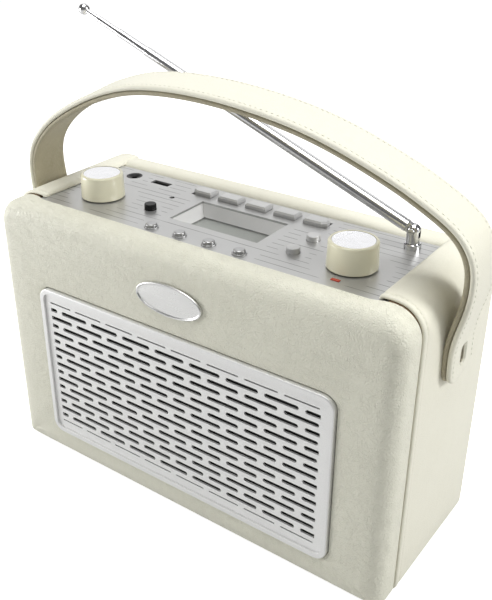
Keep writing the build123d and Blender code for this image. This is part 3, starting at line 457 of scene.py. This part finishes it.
def finish_mesh(name, mesh):
    """Turn a bmesh into a smooth-shaded, linked object."""
    data = bpy.data.meshes.new(name)
    mesh.to_mesh(data)
    mesh.free()
    for face in data.polygons:
        face.use_smooth = True
    piece = bpy.data.objects.new(name, data)
    bpy.context.scene.collection.objects.link(piece)
    return piece


def dress(piece, body, slot, *nodes, finish=None):
    """Give a new piece its material, its body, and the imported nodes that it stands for."""
    piece.data.materials.append(MATERIALS[finish or slot])
    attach(piece, body)
    if nodes:
        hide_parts(*nodes)
    return piece


def subdivide(piece):
    """Smooth a piece with one applied level of subdivision surface."""
    bpy.context.view_layer.objects.active = piece
    smoother = piece.modifiers.new("smooth", "SUBSURF")
    smoother.levels = 1
    smoother.render_levels = 1
    bake_modifiers(piece)


def bake_modifiers(piece):
    """Replace a piece's mesh by what its modifiers make of it."""
    graph = bpy.context.evaluated_depsgraph_get()
    made = bpy.data.meshes.new_from_object(piece.evaluated_get(graph))
    piece.modifiers.clear()
    piece.data = made


def puff(piece, held, pressure, reach):
    """Fill a closed leather piece as padding does, by cloth simulation.

    The points for which held(point) is true stay where they are, and no point moves
    further than reach.
    """
    fixed = [v.index for v in piece.data.vertices if held(v.co)]
    group = piece.vertex_groups.new(name="held")
    group.add(fixed, 1.0, "REPLACE")
    before = [v.co.copy() for v in piece.data.vertices]
    cloth = piece.modifiers.new("padding", "CLOTH")
    cloth.settings.quality = 6
    cloth.settings.mass = 0.25
    cloth.settings.tension_stiffness = 25
    cloth.settings.compression_stiffness = 25
    cloth.settings.bending_stiffness = 2
    cloth.settings.use_pressure = True
    cloth.settings.uniform_pressure_force = pressure
    cloth.settings.effector_weights.gravity = 0
    cloth.settings.vertex_group_mass = "held"
    cloth.collision_settings.use_collision = False
    scene = bpy.context.scene
    for step in range(1, PUFF_FRAMES + 1):
        scene.frame_set(step)
    graph = bpy.context.evaluated_depsgraph_get()
    after = [v.co.copy() for v in piece.evaluated_get(graph).data.vertices]
    piece.modifiers.clear()
    piece.vertex_groups.clear()
    for vertex, old, new in zip(piece.data.vertices, before, after):
        move = new - old
        if move.length > reach:
            move *= reach / move.length
        vertex.co = old + move
    scene.frame_set(1)


# ---------------------------------------------------------------- padded leather

def band_path():
    """The band's outer line, clockwise from the right cheek's lip to the left cheek's."""
    half = BAND_HIGH.x
    rise = 0.2 * MM
    shelf = half - TOP_RADIUS - CHEEK_INNER + LIP_OVERHANG - LIP_RADIUS
    side = BAND_HIGH.z - TOP_RADIUS - BAND_LOW.z - BOTTOM_RADIUS
    floor_run = 2 * (half - BOTTOM_RADIUS)
    down = [(rise, 0, 1), (LIP_RADIUS, 90, 6), (shelf, 0, 3), (TOP_RADIUS, 90, 12), (side, 0, 34),
            (BOTTOM_RADIUS, 90, 6)]
    moves = down + [(floor_run, 0, 50)] + down[::-1]
    return trace((CHEEK_INNER - LIP_OVERHANG, BAND_HIGH.z - LIP_RADIUS - rise), 90, moves)


def band_section():
    """The band's depth and standing-out, in millimetres: rolled hem, stitched groove, rear edge."""
    depth = (BAND_HIGH.y - BAND_LOW.y) / MM
    hem = [(1.1, -2.1), (0.35, -1.9), (0.0, -1.3), (0.05, -0.7), (0.5, -0.15), (1.3, 0.12), (2.2, 0.05),
           (2.9, -0.2), (3.4, -0.62), (3.7, -0.7), (4.0, -0.5), (4.6, -0.12), (5.6, 0.0)]
    flat = [(5.6 + (depth - 9.6) * (i + 1) / 18, 0.0) for i in range(18)]
    back = [(depth - 2.4, -0.08), (depth - 1.2, -0.35), (depth - 0.4, -0.9), (depth, -1.7), (depth, -2.1)]
    return hem + flat + back


def leather_band():
    """The leather round the sides, bottom and cheeks, with its front hem and padding."""
    sections = []
    for point, normal in band_path():
        section = [point + normal * out * MM + Vector((0, BAND_LOW.y + deep * MM, 0))
                   for deep, out in band_section()]
        sections.append(section)
    piece = lofted("side_leather", sections, capped=True)
    front = BAND_LOW.y + 4.4 * MM
    back = BAND_HIGH.y - 2.5 * MM
    lip = PLATE_HIGH.z

    def held(point):
        near_lip = abs(point.x) < CHEEK_INNER + 1 * MM and point.z < lip + 0.8 * MM
        under = point.z < BAND_LOW.z + 2 * MM
        inner = (abs(point.x) < BAND_HIGH.x - SKIN + 0.2 * MM
                 and BAND_LOW.z + 8 * MM < point.z < 140 * MM)
        return point.y < front or point.y > back or near_lip or under or inner

    puff(piece, held, BAND_PRESSURE, BAND_REACH)
    subdivide(piece)
    return dress(piece, "root", "cream_leather", "leather_band", finish="smooth_cream_leather")


def rounded_loop(low, high, top_radius, bottom_radius):
    """A rounded rectangle in X and Z, clockwise from the middle of the top, in matching steps."""
    half = (high[0] - low[0]) / 2
    tall = high[1] - low[1] - top_radius - bottom_radius
    top = half - top_radius
    bottom = 2 * (half - bottom_radius)
    moves = [(top, 0, 26), (top_radius, 90, 12), (tall, 0, 32), (bottom_radius, 90, 8), (bottom, 0, 52),
             (bottom_radius, 90, 8), (tall, 0, 32), (top_radius, 90, 12), (top, 0, 26)]
    return trace(((low[0] + high[0]) / 2, high[1]), 0, moves)[:-1]


def front_cover():
    """The padded leather front: rolled edges, tucked into the seam and behind the grille's rim."""
    face = COVER_LOW.y
    behind = BAFFLE_LOW.y - 0.1 * MM
    full = COVER_FULLNESS
    roll, drop, thick = COVER_ROLL, COVER_DROP, COVER_THICK
    outer = rounded_loop((COVER_LOW.x - full, COVER_LOW.z), (COVER_HIGH.x + full, COVER_HIGH.z),
                         COVER_TOP_RADIUS, COVER_BOTTOM_RADIUS)
    gap = 0.2 * MM
    inner = rounded_loop((GRILLE_LOW.x - gap, GRILLE_LOW.z - gap),
                         (GRILLE_HIGH.x + gap, GRILLE_HIGH.z + gap), OPENING_RADIUS, OPENING_RADIUS)
    sections = []
    for (edge, out), (hole, away) in zip(outer, inner):
        over_panel = edge.z > COVER_HIGH.z - 1 * MM and abs(edge.x) < CHEEK_INNER + 0.3 * MM
        end = PLATE_LOW.y - 0.25 * MM if over_panel else COVER_HIGH.y
        section = [hole + Vector((0, behind, 0)),
                   hole + Vector((0, face + 2.2 * MM, 0)),
                   hole + away * 0.15 * MM + Vector((0, face + 1.0 * MM, 0)),
                   hole + away * 0.8 * MM + Vector((0, face + 0.35 * MM, 0))]
        near = hole + away * 2.2 * MM
        far = edge - out * roll
        rows = 9
        for i in range(rows + 1):
            section.append(near.lerp(far, i / rows) + Vector((0, face, 0)))
        for i in range(1, 7):
            turn = radians(90 * i / 6)
            section.append(edge - out * roll * (1 - sin(turn))
                           + Vector((0, face + drop * (1 - cos(turn)), 0)))
        for share in (0.3, 0.6, 0.85):
            section.append(edge + Vector((0, face + drop + (end - face - drop - 1.2 * MM) * share, 0)))
        section.append(edge - out * 0.1 * MM + Vector((0, end - 1.0 * MM, 0)))
        section.append(edge - out * 0.45 * MM + Vector((0, end - 0.35 * MM, 0)))
        section.append(edge - out * 1.1 * MM + Vector((0, end, 0)))
        section.append(edge - out * thick + Vector((0, end - 0.1 * MM, 0)))
        section.append(edge - out * thick + Vector((0, behind, 0)))
        sections.append(section)
    piece = lofted("front_leather", sections, closed_path=True)
    margin = 1.2 * MM

    def held(point):
        tucked = point.y > face + 10 * MM
        backing = point.y > behind - 1 * MM and abs(point.x) < COVER_HIGH.x - thick + 0.2 * MM
        opening = (abs(point.x) < GRILLE_HIGH.x + margin and
                   GRILLE_LOW.z - margin < point.z < GRILLE_HIGH.z + margin)
        under_badge = BADGE_LOW.x < point.x < BADGE_HIGH.x and BADGE_LOW.z < point.z < BADGE_HIGH.z
        return tucked or backing or opening or under_badge

    puff(piece, held, COVER_PRESSURE, COVER_REACH)
    subdivide(piece)
    return dress(piece, "root", "cream_leather", "front_cover")


def rear_rail():
    """The leather roll behind the control panel."""
    radius = 5.0 * MM
    low = RAIL_LOW
    high = RAIL_HIGH
    outline = [(low.y, low.z), (low.y, low.z + 4 * MM)]
    outline += [(low.y + radius * (1 - cos(radians(a))), high.z - radius * (1 - sin(radians(a))))
                for a in range(0, 91, 15)]
    outline += [(low.y + (high.y - low.y) / 2, high.z)]
    outline += [(high.y - radius * (1 - sin(radians(a))), high.z - radius * (1 - cos(radians(a))))
                for a in range(0, 91, 15)]
    outline += [(high.y, low.z + 4 * MM), (high.y, low.z), ((low.y + high.y) / 2, low.z)]
    middle = Vector((0, (low.y + high.y) / 2, (low.z + high.z) / 2))
    count = 54
    sections = []
    for i in range(-1, count + 2):
        share = min(max(i, 0), count) / count
        x = low.x + (high.x - low.x) * share
        shrink = 0.93 if i in (-1, count + 1) else (0.985 if i in (0, count) else 1.0)
        if i == 0:
            x += 0.5 * MM
        if i == count:
            x -= 0.5 * MM
        section = [Vector((x, middle.y + (y - middle.y) * shrink, middle.z + (z - middle.z) * shrink))
                   for y, z in outline]
        sections.append(section)
    piece = lofted("rear_rail_leather", sections, capped=True)

    def held(point):
        return point.z < low.z + 5 * MM or abs(point.x) > high.x - 2 * MM

    puff(piece, held, RAIL_PRESSURE, RAIL_REACH)
    subdivide(piece)
    return dress(piece, "root", "cream_leather", "rear_rail", finish="smooth_cream_leather")


# ---------------------------------------------------------------- handle

STUD_Z = (STUDS_LOW.z + STUDS_HIGH.z) / 2
SEAM_X = 133.2
STRAP_END = 14.0
HANDLE_LEAN = 6.7
HALF_WIDTH_END = 13.2
HALF_WIDTH_TOP = 12.0
END_RADIUS = 9.0


def corner_cut(points, rounds):
    """Smooth an open line by cutting its corners, keeping its ends."""
    for _ in range(rounds):
        cut = [points[0]]
        for a, b in zip(points, points[1:]):
            cut += [a.lerp(b, 0.25), a.lerp(b, 0.75)]
        cut.append(points[-1])
        points = cut
    return points


def even_steps(points, step):
    """The same line with its points a nearly even step apart."""
    length = sum((b - a).length for a, b in zip(points, points[1:]))
    count = round(length / step)
    spacing = length / count
    made = [points[0]]
    walked = 0.0
    for a, b in zip(points, points[1:]):
        run = (b - a).length
        while walked + run >= spacing * len(made) and len(made) < count:
            made.append(a.lerp(b, (spacing * len(made) - walked) / run))
        walked += run
    return made + [points[-1]]


def handle_line():
    """The seam between the handle's layers, upright, with its outward normals, in millimetres."""
    foot = STUD_Z / MM - STRAP_END
    points = [(-SEAM_X, foot), (-SEAM_X, 168), (-131.9, 182), (-127.2, 193.3), (-117.8, 204),
              (-105.4, 213.8), (-88, 223.6), (-67.5, 233.0), (-42, 240.6), (-8, 242.9), (28, 240.4),
              (64, 233.9), (100, 220.4), (120, 210.2), (131.6, 202.6), (137.4, 195), (140.1, 187),
              (140.3, 177), (138.8, 166), (135.6, 154), (SEAM_X, 142), (SEAM_X, foot)]
    line = even_steps(corner_cut([Vector((x, 0, z)) for x, z in points], 4), 2.2)
    rows = []
    for i, point in enumerate(line):
        along = (line[min(i + 1, len(line) - 1)] - line[max(i - 1, 0)]).normalized()
        rows.append((point, Vector((-along.z, 0, along.x))))
    return rows


def half_width(z):
    """Half the strap's width at a height, rounded at its lower ends."""
    share = min(max((z - 160) / 45, 0), 1)
    width = HALF_WIDTH_END + (HALF_WIDTH_TOP - HALF_WIDTH_END) * share
    above = z - (STUD_Z / MM - STRAP_END)
    if above < END_RADIUS:
        width -= END_RADIUS - sqrt(max(END_RADIUS ** 2 - (END_RADIUS - above) ** 2, 0))
    return width


LEAN = (Matrix.Translation((0, 0, STUD_Z)) @ Matrix.Rotation(radians(HANDLE_LEAN), 4, "X")
        @ Matrix.Translation((0, 0, -STUD_Z)))


def strap_layer(name, inside, outside, narrow):
    """One leather layer of the handle, between two distances from its seam, with rounded edges."""
    edge = (outside - inside) / 2
    rows = handle_line()
    sections = []
    for index, (point, normal) in enumerate(rows):
        at_end = index in (0, len(rows) - 1)
        squeeze = 0.55 if at_end else 1.0
        width = max(half_width(point.z) - narrow, 2.0)
        section = []
        for side in (1, -1):
            for turn in [radians(a) + radians(1) for a in range(-90, 91, 22)]:
                u = side * (width - edge + edge * cos(turn))
                v = edge * sin(turn) * side
                section.append((u, v))
            for share in (0.75, 0.5, 0.25, 0.0, -0.25, -0.5, -0.75):
                section.append((side * (width - edge) * share, side * edge))
        middle = (inside + outside) / 2
        place = [point + normal * (middle + v * squeeze) + Vector((0, u, 0)) for u, v in section]
        sections.append([LEAN @ (p * MM) for p in place])
    return lofted(name, sections, capped=True)


def cut_out(piece, cutter):
    """Cut one closed mesh out of another."""
    knife = piece.modifiers.new("cut", "BOOLEAN")
    knife.operation = "DIFFERENCE"
    knife.solver = "EXACT"
    knife.object = cutter
    bake_modifiers(piece)
    bpy.data.objects.remove(cutter)


def stadium_bar(name, height, width, x0, x1):
    """A bar along X through the studs' axis, with a rounded slot's outline."""
    half = width / 2
    straight = (height - width) / 2
    outline = [(half * cos(radians(a)), straight + half * sin(radians(a))) for a in range(0, 181, 15)]
    outline += [(half * cos(radians(a)), -straight + half * sin(radians(a))) for a in range(180, 361, 15)]
    sections = []
    for x in (x0, x1):
        ring = [LEAN @ Vector((x * MM, y * MM, STUD_Z + z * MM)) for y, z in outline]
        sections.append(ring)
    return lofted(name, sections, capped=True)


def handle():
    """Both leather layers of the strap handle, open at the studs."""
    strap = strap_layer("handle_outer_leather", 0.15, 2.9, 0.0)
    lining = strap_layer("handle_lining_leather", -2.55, -0.05, 0.35)
    subdivide(strap)
    subdivide(lining)
    for side in (-1, 1):
        cut_out(strap, stadium_bar("slot", 10.9, 4.9, side * SEAM_X, side * (SEAM_X + 4)))
        cut_out(strap, stadium_bar("rim", 12.8, 6.8, side * (SEAM_X + 2.45), side * (SEAM_X + 4)))
        cut_out(strap, stadium_bar("pocket", 11.5, 11.49, side * (SEAM_X - 0.5), side * (SEAM_X + 1.6)))
        cut_out(lining, stadium_bar("bore", 6.6, 6.59, side * (SEAM_X - 4), side * (SEAM_X + 1)))
    strap.data.shade_smooth()
    lining.data.shade_smooth()
    handle_stitches()
    dress(strap, "handle", "cream_leather", "handle_strap", finish="smooth_cream_leather")
    dress(lining, "handle", "lining_leather", "handle_lining")


# ---------------------------------------------------------------- stitches and badge

def stitch_rows(name, body, slot, rows, pitch, thick):
    """Thread stitches along paths of (point, outward direction), a pitch apart, in metres."""
    mesh = bmesh.new()
    for row in rows:
        points = [point for point, _ in row]
        length = sum((b - a).length for a, b in zip(points, points[1:]))
        count = floor(length / pitch)
        walked = 0.0
        made = 0
        for (a, out), (b, _) in zip(row, row[1:]):
            run = (b - a).length
            while made < count and walked + run >= (made + 0.5) * pitch:
                share = ((made + 0.5) * pitch - walked) / run
                add_stitch(mesh, a.lerp(b, share), (b - a).normalized(), out, pitch * 0.36, thick)
                made += 1
            walked += run
    bmesh.ops.recalc_face_normals(mesh, faces=mesh.faces)
    return dress(finish_mesh(name, mesh), body, slot)


def add_stitch(mesh, centre, along, out, half, thick):
    """One stitch: a little spindle that dips into the leather at both ends."""
    across = along.cross(out).normalized()
    rings = []
    for share, width, rise in ((-1.0, 0.45, -0.7), (-0.6, 0.95, 0.0), (0.0, 1.0, 0.25), (0.6, 0.95, 0.0),
                               (1.0, 0.45, -0.7)):
        middle = centre + along * half * share + out * thick * rise
        ring = []
        for turn in range(0, 360, 60):
            offset = across * cos(radians(turn)) + out * sin(radians(turn))
            ring.append(mesh.verts.new(middle + offset * thick * width))
        rings.append(ring)
    for one, two in zip(rings, rings[1:]):
        for i in range(6):
            j = (i + 1) % 6
            mesh.faces.new((one[i], one[j], two[j], two[i]))
    mesh.faces.new(rings[0])
    mesh.faces.new(rings[-1])


def handle_stitches():
    """Stitches a little inside both edges of the handle's two faces."""
    faces = []
    for distance, inset, facing in ((2.86, 2.4, 1), (-2.5, 3.0, -1)):
        for side in (-1, 1):
            row = []
            for point, normal in handle_line():
                width = half_width(point.z) - inset
                if point.z < STUD_Z / MM - STRAP_END + 3.0:
                    continue
                place = LEAN @ ((point + normal * distance + Vector((0, side * width, 0))) * MM)
                row.append((place, (LEAN.to_3x3() @ normal) * facing))
            faces.append(row)
    stitch_rows("handle_outer_stitches", "handle", "cream_leather", faces[:2], 3.0 * MM, 0.24 * MM)
    stitch_rows("handle_lining_stitches", "handle", "lining_leather", faces[2:], 3.0 * MM, 0.26 * MM)


def band_stitches():
    """Stitches in the groove behind the band's front hem."""
    row = [(point + normal * -0.62 * MM + Vector((0, BAND_LOW.y + 3.65 * MM, 0)), normal)
           for point, normal in band_path()[3:-3]]
    stitch_rows("hem_stitches", "root", "cream_leather", [row], 2.6 * MM, 0.26 * MM)


def badge():
    """Oval badge with a rounded border round a slightly sunken, gently domed face."""
    centre = (BADGE_LOW + BADGE_HIGH) / 2
    half_x = (BADGE_HIGH.x - BADGE_LOW.x) / 2
    half_z = (BADGE_HIGH.z - BADGE_LOW.z) / 2
    back = BADGE_HIGH.y
    thick = BADGE_HIGH.y - BADGE_LOW.y
    profile = [(0.0, 0.0), (0.0, 0.55), (0.08, 0.8), (0.3, 0.95), (0.6, 1.0), (0.95, 0.96), (1.2, 0.82),
               (1.35, 0.66), (1.6, 0.62), (2.4, 0.64), (3.6, 0.68), (5.2, 0.74), (7.0, 0.78), (8.4, 0.8)]
    sections = []
    for inset, rise in profile:
        ring = [Vector((centre.x + (half_x - inset * MM) * cos(radians(a)), back - thick * rise,
                        centre.z + (half_z - inset * MM) * sin(radians(a)))) for a in range(0, 360, 4)]
        sections.append(ring)
    piece = lofted("oval_badge", sections, capped=True)
    dress(piece, "root", "badge_chrome", "badge")


# ---------------------------------------------------------------- studio

def stage():
    """A plain pale floor and soft lights."""
    mesh = bmesh.new()
    bmesh.ops.create_grid(mesh, x_segments=2, y_segments=2, size=6)
    floor_piece = finish_mesh("floor", mesh)
    paper = Finish("paper_floor", (0.58, 0.58, 0.575), 0.9, Specular_IOR_Level=0.0)
    paper.shader.inputs["Emission Color"].default_value = (1, 1, 1, 1)
    seen = paper.node("ShaderNodeLightPath").outputs["Is Camera Ray"]
    paper.feed(paper.shader.inputs["Emission Strength"], paper.ramp(seen, 0.0, 1.0, 0.12, 0.85))
    paper.bump(paper.noise(1.5, 3.0), 0.05, 0.2)
    floor_piece.data.materials.append(paper.material)
    softbox("key_light", -62, 3, 0.85, 0.4, 4.7)
    softbox("side_light", 107, 26, 1.3, 0.45, 9.5)
    softbox("top_light", 10, 82, 1.2, 0.9, 11.8)
    softbox("back_light", 212, 34, 1.5, 1.6, 7)
    world = bpy.data.worlds.new("studio")
    bpy.context.scene.world = world
    world.use_nodes = True
    sky = world.node_tree.nodes["Background"]
    sky.inputs["Color"].default_value = (1, 1, 1, 1)
    seen = world.node_tree.nodes.new("ShaderNodeLightPath").outputs["Is Camera Ray"]
    strength = world.node_tree.nodes.new("ShaderNodeMapRange")
    strength.inputs["To Min"].default_value = 0.16
    strength.inputs["To Max"].default_value = 1.0
    world.node_tree.links.new(seen, strength.inputs["Value"])
    world.node_tree.links.new(strength.outputs["Result"], sky.inputs["Strength"])
    bpy.context.scene.view_settings.view_transform = "Standard"


def softbox(name, azimuth, elevation, distance, size, power):
    """A square light that faces the middle of the radio."""
    data = bpy.data.lights.new(name, "AREA")
    data.shape = "SQUARE"
    data.size = size
    data.energy = power
    light = bpy.data.objects.new(name, data)
    a, e = radians(azimuth), radians(elevation)
    back = Vector((sin(a) * cos(e), -cos(a) * cos(e), sin(e)))
    light.location = Vector((0, 0, 0.11)) + back * distance
    light.rotation_mode = "QUATERNION"
    light.rotation_quaternion = (-back).to_track_quat("-Z", "Y")
    bpy.context.scene.collection.objects.link(light)


def camera():
    """Three-quarter view from the front right, a little above."""
    data = bpy.data.cameras.new("camera")
    data.lens = 51.79
    data.sensor_width = 36
    data.shift_x = 0.0767
    data.shift_y = -0.0033
    eye = bpy.data.objects.new("camera", data)
    right = Vector((0.79162, 0.61069, -0.01997))
    up = Vector((-0.27307, 0.38283, 0.88254))
    back = Vector((0.54660, -0.69318, 0.46982))
    turn = Matrix((right, up, back)).transposed()
    eye.matrix_world = Matrix.Translation((0.25220, -0.34514, 0.34967)) @ turn.to_4x4()
    bpy.context.scene.collection.objects.link(eye)
    bpy.context.scene.camera = eye


dress_cad_nodes()
leather_band()
front_cover()
rear_rail()
handle()
band_stitches()
badge()
stage()
camera()
